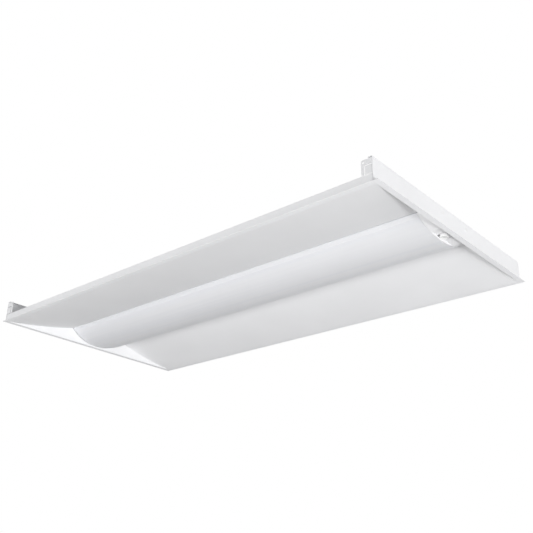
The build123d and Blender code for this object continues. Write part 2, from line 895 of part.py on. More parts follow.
def led_cable():
    """Cable from the last right board, through the grommet to the driver."""
    start = board_span(1)[1] - connector_inset
    z = board_bottom - connector_height / 2
    x = grommet_x + cable_pair_pitch / 2
    lift = (x, board_row_y, z)
    points = [(start, board_row_y, z), lift, (x, board_row_y + led_cable_turn, grommet_z)]
    return tube(points + to_terminal(x, 1), cable_radius, cable_bend)


def sensor_cable():
    """Cable from the top of the sensor, through the grommet to the driver."""
    top = seat_z + body_height
    x = grommet_x - cable_pair_pitch / 2
    rise = (sensor_x, sensor_y, grommet_z)
    points = [(sensor_x, sensor_y, top), rise, (x, sensor_y + sensor_cable_turn, grommet_z)]
    return tube(points + to_terminal(x, -1), cable_radius, cable_bend)


# ---------------------------------------------------------------- the assembly
nodes = {
    "side_reflector_right": side_reflector(),
    "side_reflector_left": mirror(side_reflector(), about=Plane.XZ),
    "back_channel": back_channel() - grommet_hole(),
    "led_tray": led_tray(),
    "board_connectors": board_connectors(),
    "board_jumpers": board_jumpers(),
    "lens": lens(),
    "lens_rail_right": lens_rail(),
    "lens_rail_left": mirror(lens_rail(), about=Plane.XZ),
    "sensor_cover": sensor_cover(),
    "sensor_bezel": sensor_bezel(),
    "sensor_eye": sensor_eye(),
    "sensor_body": sensor_body(),
    "sensor_nut": sensor_nut(),
    "driver_box": driver_box(),
    "knockout_disc": knockout_disc(),
    "ground_screw": ground_screw(),
    "driver_case": driver_case(),
    "driver_end_caps": driver_end_caps(),
    "driver_screws": driver_screws(),
    "input_terminal": terminal(0),
    "output_terminal": terminal(1),
    "supply_connector": supply_connector(),
    "supply_leads": supply_leads(),
    "access_lid": access_lid(),
    "lid_hinge_pin": lid_pin(),
    "lid_screw": lid_screw(),
    "cable_grommet": cable_grommet(),
    "led_cable": led_cable(),
    "sensor_cable": sensor_cable(),
}

for row, side in (("left", -1), ("right", 1)):
    for place, index in (("plain_end", 0), ("sensor_end", 1)):
        nodes[f"led_board_{row}_{place}"] = led_board(index, side)
        nodes[f"led_packages_{row}_{place}"] = led_packages(index, side)

end_pieces = {
    "end_reflector": end_reflector(),
    "end_plate": end_plate(),
    "end_angle": end_angle(),
}
for name, piece in end_pieces.items():
    nodes[f"{name}_sensor_end"] = piece
    nodes[f"{name}_plain_end"] = mirror(piece, about=Plane.YZ)
nodes["end_rivets_sensor_end"] = end_rivets()
nodes["end_rivets_plain_end"] = [mirror(piece, about=Plane.YZ) for piece in end_rivets()]

for name, piece in (("corner_bracket", corner_bracket()), ("grid_clip", grid_clip())):
    for place, turned in (("sensor_end", piece), ("plain_end", mirror(piece, about=Plane.YZ))):
        nodes[f"{name}_{place}_right"] = turned
        nodes[f"{name}_{place}_left"] = mirror(turned, about=Plane.XZ)

for name, shape in nodes.items():
    pieces = shape if isinstance(shape, list) else [shape]
    solids = [solid for piece in pieces for solid in piece.solids()]
    export_step(solids[0] if len(solids) == 1 else Compound(solids), f"parts/{name}.step")
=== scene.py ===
"""Looks of a shallow recessed ceiling light with an arched lens. Sizes are in metres."""

import json
import logging
import math
from collections.abc import Callable, Iterator
from contextlib import contextmanager
from dataclasses import dataclass
from enum import Enum
from typing import Any

import bmesh
import bpy
from mathutils import Matrix, Vector


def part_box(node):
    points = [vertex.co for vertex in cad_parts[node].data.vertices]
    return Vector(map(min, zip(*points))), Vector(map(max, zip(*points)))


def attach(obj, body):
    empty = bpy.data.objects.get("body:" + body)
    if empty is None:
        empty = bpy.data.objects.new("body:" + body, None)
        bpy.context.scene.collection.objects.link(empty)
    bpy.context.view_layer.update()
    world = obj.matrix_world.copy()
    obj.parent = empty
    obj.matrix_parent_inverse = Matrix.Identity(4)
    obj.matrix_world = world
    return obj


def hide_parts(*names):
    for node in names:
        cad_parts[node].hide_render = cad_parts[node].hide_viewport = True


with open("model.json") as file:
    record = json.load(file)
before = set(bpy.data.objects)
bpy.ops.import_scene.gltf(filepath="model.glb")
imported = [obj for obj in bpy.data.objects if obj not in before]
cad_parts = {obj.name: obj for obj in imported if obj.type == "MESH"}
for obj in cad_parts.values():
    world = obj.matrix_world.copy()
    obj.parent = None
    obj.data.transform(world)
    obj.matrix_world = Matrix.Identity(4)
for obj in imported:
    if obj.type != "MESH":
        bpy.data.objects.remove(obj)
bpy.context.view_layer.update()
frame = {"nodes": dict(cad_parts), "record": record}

MM = 0.001
UP = Vector((0, 0, 1))
HOUSING = "housing"
HEAD_SIDES = 32  # of the heads of rivets and screws
FACING = 0.9  # least share of a direction in the normal of a face that points along it
NEAR = 0.1 * MM  # how closely an edge's place is matched

logging.basicConfig(level=logging.INFO, format="%(name)s: %(message)s")
log = logging.getLogger("ceiling_light")

Colour = tuple[float, float, float]
Piece = bpy.types.Object
Socket = bpy.types.NodeSocket
PURE_WHITE: Colour = (1.0, 1.0, 1.0)
SETTLED_DUST: Colour = (0.46, 0.44, 0.40)


# -------- modelling helpers
def deselect() -> None:
    """Leave every object unselected, so that the next operator acts on its own piece."""
    bpy.ops.object.select_all(action="DESELECT")


def activate(piece: Piece) -> None:
    """Select one object alone and make it the active one."""
    deselect()
    piece.select_set(True)
    bpy.context.view_layer.objects.active = piece


def new_piece(name: str) -> Piece:
    """Name the primitive that was just added and return it."""
    piece = bpy.context.active_object
    piece.name = name
    piece.data.name = name
    bpy.ops.object.transform_apply(location=True, rotation=True, scale=True)
    return piece


@contextmanager
def editing(piece: Piece, action: str = "DESELECT") -> Iterator[None]:
    """Edit mode on one piece alone, with none of its elements selected, or all with SELECT."""
    activate(piece)
    bpy.ops.object.mode_set(mode="EDIT")
    bpy.ops.mesh.select_all(action=action)
    yield
    bpy.ops.object.mode_set(mode="OBJECT")


def pick(kind: str, test: Callable[[Any], bool]) -> None:
    """Select just the elements of the piece in edit mode that pass a test.

    Args:
        kind: Which elements: FACE or EDGE.
        test: Says of one element whether it is wanted.
    """
    bpy.ops.mesh.select_mode(type=kind)
    bpy.ops.mesh.select_all(action="DESELECT")
    data = bpy.context.edit_object.data
    mesh = bmesh.from_edit_mesh(data)
    for element in mesh.faces if kind == "FACE" else mesh.edges:
        if test(element):
            element.select_set(True)
    bmesh.update_edit_mesh(data)


def facing(direction: Vector) -> Callable[[bmesh.types.BMFace], bool]:
    """Test for faces that point along a direction."""
    return lambda face: face.normal.dot(direction) > FACING


def smooth(piece: Piece, angle: float = 35.0) -> None:
    """Shade a piece smooth, but for edges sharper than an angle in degrees."""
    activate(piece)
    bpy.ops.object.shade_smooth_by_angle(angle=math.radians(angle))


def apply_modifier(piece: Piece, kind: str, **settings: Any) -> None:
    """Add a modifier to a piece, set it up and apply it.

    Args:
        piece: The object to change.
        kind: Blender's name for the modifier.
        settings: The modifier's own settings.
    """
    activate(piece)
    modifier = piece.modifiers.new(kind.title(), kind)
    for name, value in settings.items():
        setattr(modifier, name, value)
    bpy.ops.object.modifier_apply(modifier=modifier.name)


def disc(name: str, place: Vector, out: Vector, radius: float, height: float, sides: int) -> Piece:
    """Low cylinder that stands on a face.

    Args:
        name: Name of the piece.
        place: Middle of its foot.
        out: The way that it stands up from there.
        radius: Its radius.
        height: Its height.
        sides: Number of its sides.

    Returns:
        The cylinder as one object.
    """
    deselect()
    turn = out.to_track_quat("Z", "Y").to_euler()
    middle = place + out * height / 2
    bpy.ops.mesh.primitive_cylinder_add(
        vertices=sides, radius=radius, depth=height, location=middle, rotation=turn
    )
    return new_piece(name)


def block(name: str, centre: Vector, size: tuple[float, float, float]) -> Piece:
    """Box of a size about a centre."""
    deselect()
    bpy.ops.mesh.primitive_cube_add(size=1.0, location=centre, scale=size)
    return new_piece(name)


def copy_moved(source: Piece, shift: Vector) -> Piece:
    """Copy a piece with a mesh of its own, moved within the mesh."""
    copy = source.copy()
    copy.data = source.data.copy()
    copy.data.transform(Matrix.Translation(shift))
    bpy.context.scene.collection.objects.link(copy)
    return copy


def copy_mirrored(source: Piece, place: float) -> Piece:
    """Mirror image of a piece, from one end to the other.

    Args:
        source: The piece to copy.
        place: Where the mirror's plane cuts the length.

    Returns:
        The new object, with its faces turned outwards again.
    """
    copy = copy_moved(source, Vector())
    copy.data.transform(Matrix.Translation((2 * place, 0, 0)) @ Matrix.Diagonal((-1, 1, 1, 1)))
    with editing(copy, "SELECT"):
        bpy.ops.mesh.normals_make_consistent(inside=False)
    return copy


def joined(pieces: list[Piece], name: str) -> Piece:
    """Join pieces into one object under a name."""
    activate(pieces[0])
    for piece in pieces[1:]:
        piece.select_set(True)
    if len(pieces) > 1:
        bpy.ops.object.join()
    pieces[0].name = name
    pieces[0].data.name = name
    return pieces[0]


def row_along_x(first: Piece, pitch: float, count: int, name: str) -> Piece:
    """Join a piece and its copies, each one pitch further along the length."""
    copies = [copy_moved(first, Vector((pitch * i, 0, 0))) for i in range(1, count)]
    return joined([first, *copies], name)


# -------- node trees
@dataclass
class Graph:
    """A node tree, and short ways to add to it."""

    tree: bpy.types.NodeTree

    def put(self, kind: str, sockets: dict[Any, Any] | None = None, **settings: Any) -> bpy.types.Node:
        """Add one node.

        Args:
            kind: Type of the node, without its ShaderNode prefix.
            sockets: Values or source sockets of its inputs, by name or place.
            settings: The node's own settings.

        Returns:
            The new node.
        """
        node = self.tree.nodes.new(f"ShaderNode{kind}")
        for name, value in settings.items():
            setattr(node, name, value)
        for key, value in (sockets or {}).items():
            if isinstance(value, Socket):
                self.tree.links.new(value, node.inputs[key])
            else:
                node.inputs[key].default_value = value
        return node

    def place(self, scale: tuple[float, float, float] = (1.0, 1.0, 1.0)) -> Socket:
        """Point on the object in its own frame, stretched by a scale."""
        point = self.put("TexCoord").outputs["Object"]
        return self.put("Mapping", {"Vector": point, "Scale": scale}).outputs["Vector"]

    def upward(self) -> Socket:
        """How far the surface faces up, from -1 to 1."""
        return self.put("SeparateXYZ", {0: self.put("NewGeometry").outputs["Normal"]}).outputs[2]

    def noise(self, point: Socket, scale: float = 1.0, detail: float = 3.0) -> Socket:
        """Soft noise between 0 and 1."""
        sockets = {"Vector": point, "Scale": scale, "Detail": detail}
        return self.put("TexNoise", sockets).outputs["Fac"]

    def spread(self, value: Any, low: Any, high: Any, start: float = 0.0, end: float = 1.0) -> Socket:
        """Map a value from start..end to low..high."""
        sockets = {"Value": value, "From Min": start, "From Max": end, "To Min": low, "To Max": high}
        return self.put("MapRange", sockets).outputs["Result"]

    def math(self, operation: str, first: Any, second: Any = 0.0) -> Socket:
        """One sum on two values."""
        return self.put("Math", {0: first, 1: second}, operation=operation).outputs[0]

    def grey(self, level: Socket) -> Socket:
        """Grey of one brightness."""
        return self.put("CombineColor", {0: level, 1: level, 2: level}).outputs[0]

    def mix(self, share: Any, first: Any, second: Any, blend: str = "MIX") -> Socket:
        """Mix two colours."""
        node = self.put("Mix", {0: share, 6: first, 7: second}, data_type="RGBA", blend_type=blend)
        return node.outputs[2]

    def bump(self, height: Socket, strength: Any, depth: float) -> Socket:
        """Normal of a surface raised by a height."""
        sockets = {"Height": height, "Strength": strength, "Distance": depth}
        return self.put("Bump", sockets).outputs["Normal"]


def rgba(colour: Colour) -> tuple[float, float, float, float]:
    """A colour with full alpha."""
    return (*colour, 1.0)


class Effect:
    """A surface effect that several finishes share, kept as a node group."""

    def __init__(self, name: str, numbers: dict[str, float]) -> None:
        """Start the group with a colour input, number inputs and three outputs.

        Args:
            name: Name of the node group.
            numbers: Its number inputs and their first values.
        """
        self.tree = bpy.data.node_groups.new(name, "ShaderNodeTree")
        face = self.tree.interface
        face.new_socket("Color", in_out="INPUT", socket_type="NodeSocketColor")
        for label, value in numbers.items():
            socket = face.new_socket(label, in_out="INPUT", socket_type="NodeSocketFloat")
            socket.default_value = value
        for label, kind in (("Color", "Color"), ("Roughness", "Float"), ("Normal", "Vector")):
            face.new_socket(label, in_out="OUTPUT", socket_type=f"NodeSocket{kind}")
        self.graph = Graph(self.tree)
        self.given = self.tree.nodes.new("NodeGroupInput").outputs
        self.result = self.tree.nodes.new("NodeGroupOutput").inputs

    def shaded(self, level: Socket) -> Socket:
        """The given colour, darkened to a level between 0 and 1."""
        return self.graph.mix(1.0, self.given["Color"], self.graph.grey(level), "MULTIPLY")

    def less(self, label: str) -> Socket:
        """One less a given number."""
        return self.graph.math("SUBTRACT", 1.0, self.given[label])

    def rougher(self, change: Socket) -> Socket:
        """The given roughness with a change added."""
        return self.graph.math("ADD", self.given["Roughness"], change)

    def give(self, colour: Socket, roughness: Socket, normal: Socket) -> None:
        """Send the three results out of the group."""
        for label, source in (("Color", colour), ("Roughness", roughness), ("Normal", normal)):
            self.tree.links.new(source, self.result[label])


class Effects:
    """The shared surface effects, each built once."""

    def __init__(self) -> None:
        """Build every node group."""
        self.paint = self.powder_coat()
        self.zinc = self.zinc_spangle()
        self.moulded = self.moulded_grain()
        self.drawn = self.drawn_lines()

    def powder_coat(self) -> bpy.types.NodeTree:
        """Baked powder coat: fine orange peel, soft cloudiness, and dust where it faces up.

        Returns:
            The node group.
        """
        effect = Effect("powder_coat", {"Roughness": 0.5, "Peel": 0.2, "Dust": 0.1})
        graph = effect.graph
        point = graph.place()
        peel = graph.noise(point, scale=900.0, detail=2.0)
        cloud = graph.noise(point, scale=6.0)
        settled = graph.spread(graph.upward(), 0.0, effect.given["Dust"], start=0.55, end=0.95)
        fleck = graph.noise(point, scale=120.0, detail=5.0)
        speckle = graph.spread(fleck, 0.35, 1.0, start=0.35, end=0.7)
        dust = graph.math("MULTIPLY", settled, speckle)
        clean = effect.shaded(graph.spread(cloud, 0.965, 1.0, start=0.3, end=0.7))
        colour = graph.mix(dust, clean, rgba(SETTLED_DUST))
        roughness = effect.rougher(graph.spread(cloud, -0.04, 0.05, start=0.3, end=0.7))
        effect.give(colour, roughness, graph.bump(peel, effect.given["Peel"], depth=0.06 * MM))
        return effect.tree

    def zinc_spangle(self) -> bpy.types.NodeTree:
        """Hot-dip zinc: small crystal patches of slightly different brightness, and fine scuffs.

        Returns:
            The node group.
        """
        effect = Effect("zinc_spangle", {"Roughness": 0.4, "Patch": 180.0, "Contrast": 0.12})
        graph = effect.graph
        sockets = {"Vector": graph.place(), "Scale": effect.given["Patch"], "Randomness": 1.0}
        patch = graph.put("TexVoronoi", sockets).outputs["Color"]
        level = graph.put("SeparateColor", {0: patch}).outputs[0]
        scuff = graph.noise(graph.place((30.0, 400.0, 400.0)), detail=4.0)
        half = graph.math("MULTIPLY", effect.given["Contrast"], 0.5)
        brightest = graph.math("ADD", 1.0, half)
        colour = effect.shaded(graph.spread(level, effect.less("Contrast"), brightest))
        crystal = effect.rougher(graph.spread(level, -0.07, 0.07))
        worn = graph.spread(scuff, 0.0, 0.08, start=0.5, end=0.75)
        roughness = graph.math("ADD", crystal, worn)
        effect.give(colour, roughness, graph.bump(level, 0.15, depth=0.05 * MM))
        return effect.tree

    def moulded_grain(self) -> bpy.types.NodeTree:
        """Moulded plastic or rubber: spark-eroded grain and faint flow marks.

        Returns:
            The node group.
        """
        effect = Effect("moulded_grain", {"Roughness": 0.5, "Grain": 0.25, "Flow": 0.04})
        graph = effect.graph
        grain = graph.noise(graph.place(), scale=2600.0, detail=2.0)
        flow = graph.noise(graph.place((40.0, 18.0, 18.0)), detail=4.0)
        colour = effect.shaded(graph.spread(flow, effect.less("Flow"), 1.0, start=0.3, end=0.7))
        roughness = effect.rougher(graph.spread(grain, -0.05, 0.05))
        effect.give(colour, roughness, graph.bump(grain, effect.given["Grain"], depth=0.03 * MM))
        return effect.tree

    def drawn_lines(self) -> bpy.types.NodeTree:
        """Fine lines along the length, as rolling, drawing or extruding leaves them.

        Returns:
            The node group.
        """
        effect = Effect("drawn_lines", {"Roughness": 0.35, "Lines": 0.3, "Contrast": 0.08})
        graph = effect.graph
        fine = graph.noise(graph.place((4.0, 2200.0, 2200.0)))
        broad = graph.noise(graph.place((1.2, 160.0, 160.0)), detail=2.0)
        streak = graph.math("MULTIPLY", graph.math("ADD", fine, broad), 0.5)
        shade = graph.spread(streak, effect.less("Contrast"), 1.0, start=0.35, end=0.65)
        roughness = effect.rougher(graph.spread(streak, -0.06, 0.06))
        normal = graph.bump(fine, effect.given["Lines"], depth=0.02 * MM)
        effect.give(effect.shaded(shade), roughness, normal)
        return effect.tree


# -------- finishes
@dataclass(frozen=True)
class Finish:
    """One material: a shared effect, its colour and values, and the shader's plain settings."""

    name: str
    effect: str
    colour: Colour
    values: dict[str, float]
    metallic: float = 0.0
    specular: float = 0.5
    coat: float = 0.0
    coat_roughness: float = 0.12
    subsurface: float = 0.0
    scatter: float = 2.0 * MM

    def build(self, effects: Effects) -> bpy.types.Material:
        """Make the material.

        Args:
            effects: The shared node groups.

        Returns:
            The material, named for its slot.
        """
        material = bpy.data.materials.new(self.name)
        material.use_nodes = True
        material.diffuse_color = rgba(self.colour)
        graph = Graph(material.node_tree)
        shader = material.node_tree.nodes["Principled BSDF"].inputs
        group = graph.put("Group", node_tree=getattr(effects, self.effect))
        for label, value in {**self.values, "Color": rgba(self.colour)}.items():
            group.inputs[label].default_value = value
        settings = {
            "Metallic": self.metallic,
            "Specular IOR Level": self.specular,
            "Coat Weight": self.coat,
            "Coat Roughness": self.coat_roughness,
            "Subsurface Weight": self.subsurface,
            "Subsurface Radius": (self.scatter,) * 3,
            "Subsurface Scale": 1.0,
        }
        for label, value in settings.items():
            shader[label].default_value = value
        link = material.node_tree.links.new
        link(self.detail(graph, group.outputs["Color"]), shader["Base Color"])
        link(group.outputs["Roughness"], shader["Roughness"])
        link(group.outputs["Normal"], shader["Normal"])
        return material

    def detail(self, graph: Graph, colour: Socket) -> Socket:
        """Colour with what only this finish has. The plain finish adds nothing."""
        return colour


@dataclass(frozen=True)
class BoardFinish(Finish):
    """White solder mask with the copper's outline showing faintly through it."""

    copper: Colour = (0.985, 0.985, 0.98)
    gap: Colour = (0.90, 0.91, 0.89)
    gap_width: float = 0.2 * MM
    track_length: float = 32.0 * MM
    track_width: float = 9.0 * MM

    def detail(self, graph: Graph, colour: Socket) -> Socket:
        """Darken the mask a little between the copper areas."""
        sockets = {
            "Vector": graph.place(),
            "Color1": rgba(PURE_WHITE),
            "Color2": rgba(self.copper),
            "Mortar": rgba(self.gap),
            "Scale": 1.0,
            "Mortar Size": self.gap_width,
            "Brick Width": self.track_length,
            "Row Height": self.track_width,
        }
        tracks = graph.put("TexBrick", sockets).outputs["Color"]
        return graph.mix(1.0, colour, tracks, "MULTIPLY")


@dataclass(frozen=True)
class LensFinish(Finish):
    """Frosted acrylic, extruded: soft streaks along its length over a faint bluish body."""

    streak: Colour = (0.975, 0.98, 0.99)

    def detail(self, graph: Graph, colour: Socket) -> Socket:
        """Lay broad pale and dull streaks along the lens."""
        broad = graph.noise(graph.place((0.7, 55.0, 55.0)), detail=2.0)
        share = graph.spread(broad, 0.0, 1.0, start=0.42, end=0.6)
        tint = graph.mix(share, rgba(self.streak), rgba(PURE_WHITE))
        return graph.mix(1.0, colour, tint, "MULTIPLY")


@dataclass(frozen=True)
class DustyFinish(Finish):
    """A finish on the back of the light, where building dust settles in patches."""

    dust: Colour = (0.50, 0.48, 0.44)
    amount: float = 0.35

    def detail(self, graph: Graph, colour: Socket) -> Socket:
        """Lay dust on what faces up."""
        settled = graph.spread(graph.upward(), 0.0, self.amount, start=0.6)
        cloud = graph.noise(graph.place(), scale=14.0, detail=6.0)
        patch = graph.spread(cloud, 0.1, 1.0, start=0.4, end=0.65)
        return graph.mix(graph.math("MULTIPLY", settled, patch), colour, rgba(self.dust))


def moulded(
    name: str, colour: Colour, roughness: float, grain: float, flow: float = 0.04, glow: float = 0.0
) -> Finish:
    """Finish of a plastic or rubber piece.

    Args:
        name: Slot that it is for.
        colour: Its colour.
        roughness: How dull it is.
        grain: Strength of the mould's grain.
        flow: How much darker its flow marks are.
        glow: Share of the light that scatters within it.

    Returns:
        The finish.
    """
    values = {"Roughness": roughness, "Grain": grain, "Flow": flow}
    return Finish(name, "moulded", colour, values, subsurface=glow)


FINISHES = (
    Finish(
        "white_paint",
        "paint",
        (0.888, 0.891, 0.905),
        {"Roughness": 0.48, "Peel": 0.2, "Dust": 0.25},
        specular=0.35,
    ),
    Finish("painted_rivet", "paint", (0.87, 0.87, 0.87), {"Roughness": 0.42, "Peel": 0.3, "Dust": 0.1}),
    DustyFinish(
        "galvanised_sheet",
        "zinc",
        (0.70, 0.72, 0.73),
        {"Roughness": 0.42, "Patch": 160.0, "Contrast": 0.09},
        metallic=0.85,
        amount=0.16,
    ),
    Finish(
        "zinc_plate",
        "zinc",
        (0.74, 0.74, 0.71),
        {"Roughness": 0.26, "Patch": 900.0, "Contrast": 0.06},
        metallic=1.0,
    ),
    Finish(
        "green_screw",
        "zinc",
        (0.06, 0.30, 0.11),
        {"Roughness": 0.34, "Patch": 900.0, "Contrast": 0.08},
        metallic=0.7,
    ),
    LensFinish(
        "lens_acrylic",
        "drawn",
        (0.885, 0.892, 0.92),
        {"Roughness": 0.44, "Lines": 0.25, "Contrast": 0.02},
        subsurface=0.3,
    ),
    moulded("cover_plastic", (0.89, 0.89, 0.905), 0.5, grain=0.3, flow=0.02),
    moulded("bezel_plastic", (0.93, 0.93, 0.93), 0.3, grain=0.1, flow=0.01),
    moulded("eye_plastic", (0.80, 0.81, 0.80), 0.38, grain=0.1, flow=0.03, glow=0.2),
    moulded("sensor_plastic", (0.80, 0.80, 0.79), 0.45, grain=0.3, flow=0.05),
    moulded("connector_plastic", (0.88, 0.88, 0.84), 0.4, grain=0.2, flow=0.05),
    moulded("lead_insulation_white", (0.86, 0.86, 0.84), 0.4, grain=0.1),
    moulded("lead_insulation_black", (0.03, 0.03, 0.032), 0.38, grain=0.1),
    moulded("cable_jacket", (0.80, 0.80, 0.78), 0.46, grain=0.2),
    DustyFinish(
        "driver_metal",
        "drawn",
        (0.78, 0.79, 0.80),
        {"Roughness": 0.34, "Lines": 0.4, "Contrast": 0.1},
        metallic=0.95,
        amount=0.05,
    ),
    moulded("cap_plastic", (0.045, 0.045, 0.047), 0.5, grain=0.4, flow=0.2),
    moulded("terminal_plastic", (0.72, 0.73, 0.71), 0.45, grain=0.3, flow=0.05),
    moulded("supply_plastic", (0.80, 0.26, 0.04), 0.4, grain=0.2, flow=0.08),
    moulded("grommet_rubber", (0.03, 0.03, 0.03), 0.72, grain=0.6, flow=0.2),
    BoardFinish(
        "board_mask",
        "paint",
        (0.90, 0.90, 0.88),
        {"Roughness": 0.3, "Peel": 0.1, "Dust": 0.0},
        coat=0.3,
    ),
    moulded("led_resin", (0.90, 0.66, 0.14), 0.3, grain=0.3, flow=0.12, glow=0.2),
)


class Paints:
    """Every finish as a material, and the ways to put them on."""

    def __init__(self) -> None:
        """Build the node groups, then the materials."""
        effects = Effects()
        self.made = {finish.name: finish.build(effects) for finish in FINISHES}

    def dress(self, piece: Piece, *slots: str) -> None:
        """Give a new piece its materials, the first of them its main slot."""
        piece.data.materials.clear()
        for slot in slots:
            piece.data.materials.append(self.made[slot])

    def dress_frame(self) -> None:
        """Give every node of the frame the finish that the record names for it."""
        for entry in frame["record"]["subparts"]:
            node = frame["nodes"][entry["node"]]
            node.data.materials.clear()
            node.data.materials.append(self.made[entry["material_slot"]])


# -------- fasteners
@dataclass
class BlindRivet:
    """A pull-through rivet: low dome, ring and the hole that its pin left."""

    head_radius: float = 3.0 * MM
    head_height: float = 0.8 * MM
    shank_radius: float = 1.6 * MM
    grip: float = 1.6 * MM
    rim: float = 0.5 * MM
    rim_round: float = 0.35 * MM
    ring: float = 1.2 * MM
    ring_rise: float = 0.12 * MM
    hole_edge: float = 0.25 * MM
    hole_depth: float = 0.55 * MM
    top_reach: float = 0.3 * MM  # what lies further down isn't part of the head's top

    def build(self, place: Vector, out: Vector) -> Piece:
        """Model one rivet.

        Args:
            place: Where the head's seat meets the rivet's axis.
            out: The way that the head points.

        Returns:
            The rivet as one object.
        """
        rivet = disc("rivet", place, out, self.head_radius, self.head_height, HEAD_SIDES)
        top = place + out * self.head_height
        outer = self.head_radius - self.rim + NEAR
        upper = facing(out)
        with editing(rivet):
            pick("FACE", upper)
            bpy.ops.mesh.inset(thickness=self.rim, depth=0.0)
            pick("EDGE", lambda edge: all(self.off(v.co, top, out) > outer for v in edge.verts))
            bpy.ops.mesh.bevel(offset=self.rim_round, segments=3)
            pick("FACE", lambda face: upper(face) and self.off(face.calc_center_median(), top, out) < MM)
            bpy.ops.mesh.inset(thickness=self.ring, depth=self.ring_rise)
            bpy.ops.mesh.inset(thickness=self.hole_edge, depth=-self.hole_depth)
            pick("FACE", facing(-out))
            bpy.ops.mesh.inset(thickness=self.head_radius - self.shank_radius, depth=0.0)
            move = {"value": -out * self.grip}
            bpy.ops.mesh.extrude_region_move(TRANSFORM_OT_translate=move)
        smooth(rivet)
        return rivet

    def off(self, point: Vector, centre: Vector, axis: Vector) -> float:
        """Distance of a point from an axis through a centre, or zero well below that centre."""
        reach = point - centre
        along = reach.dot(axis)
        return 0.0 if along < -self.top_reach else (reach - axis * along).length


@dataclass
class CrossScrew:
    """Pan-headed screw with a cross recess."""

    head_radius: float = 3.6 * MM
    head_height: float = 2.0 * MM
    shank_radius: float = 1.9 * MM
    recess_width: float = 0.9 * MM
    recess_depth: float = 1.1 * MM
    recess_reach: float = 1.15  # length of the cross, in head radii
    crown: float = 0.3  # rounding of the head, as a share of its height
    root: float = 0.84  # the thread's root, as a share of its crest
    thread_turns: int = 3

    def build(self, place: Vector, out: Vector, grip: float) -> Piece:
        """Model one screw.

        Args:
            place: Where the head's seat meets the screw's axis.
            out: The way that the head points.
            grip: Length of the shank behind the seat.

        Returns:
            The screw as one object.
        """
        body = disc("screw", place, out, self.head_radius, self.head_height, HEAD_SIDES)
        top = place + out * self.head_height
        step = grip / self.thread_turns
        move = {"value": -out * step / 2}
        with editing(body):
            pick("EDGE", lambda edge: all((v.co - top).dot(out) > -NEAR for v in edge.verts))
            bpy.ops.mesh.bevel(offset=self.crown * self.head_height, segments=4)
            pick("FACE", facing(-out))
            bpy.ops.mesh.inset(thickness=self.head_radius - self.shank_radius, depth=0.0)
            for turn in range(self.thread_turns):
                bpy.ops.mesh.extrude_region_move(TRANSFORM_OT_translate=move)
                squeeze = self.root if turn % 2 == 0 else 1 / self.root
                middle = place - out * step * (turn + 0.5)
                bpy.ops.transform.resize(value=(squeeze,) * 3, center_override=middle)
                bpy.ops.mesh.extrude_region_move(TRANSFORM_OT_translate=move)
        self.cut_recess(body, top, out)
        smooth(body)
        return body

    def cut_recess(self, body: Piece, top: Vector, out: Vector) -> None:
        """Cut the cross into the head with two crossed blades."""
        size = (self.recess_reach * self.head_radius, self.recess_width, 2 * self.recess_depth)
        for quarter in (0.0, math.pi / 2):
            blade = block("blade", Vector(), size)
            blade.data.transform(Matrix.Rotation(quarter, 4, "Z"))
            blade.data.transform(out.to_track_quat("Z", "Y").to_matrix().to_4x4())
            blade.data.transform(Matrix.Translation(top))
            apply_modifier(body, "BOOLEAN", operation="DIFFERENCE", object=blade, solver="EXACT")
            bpy.data.objects.remove(blade)


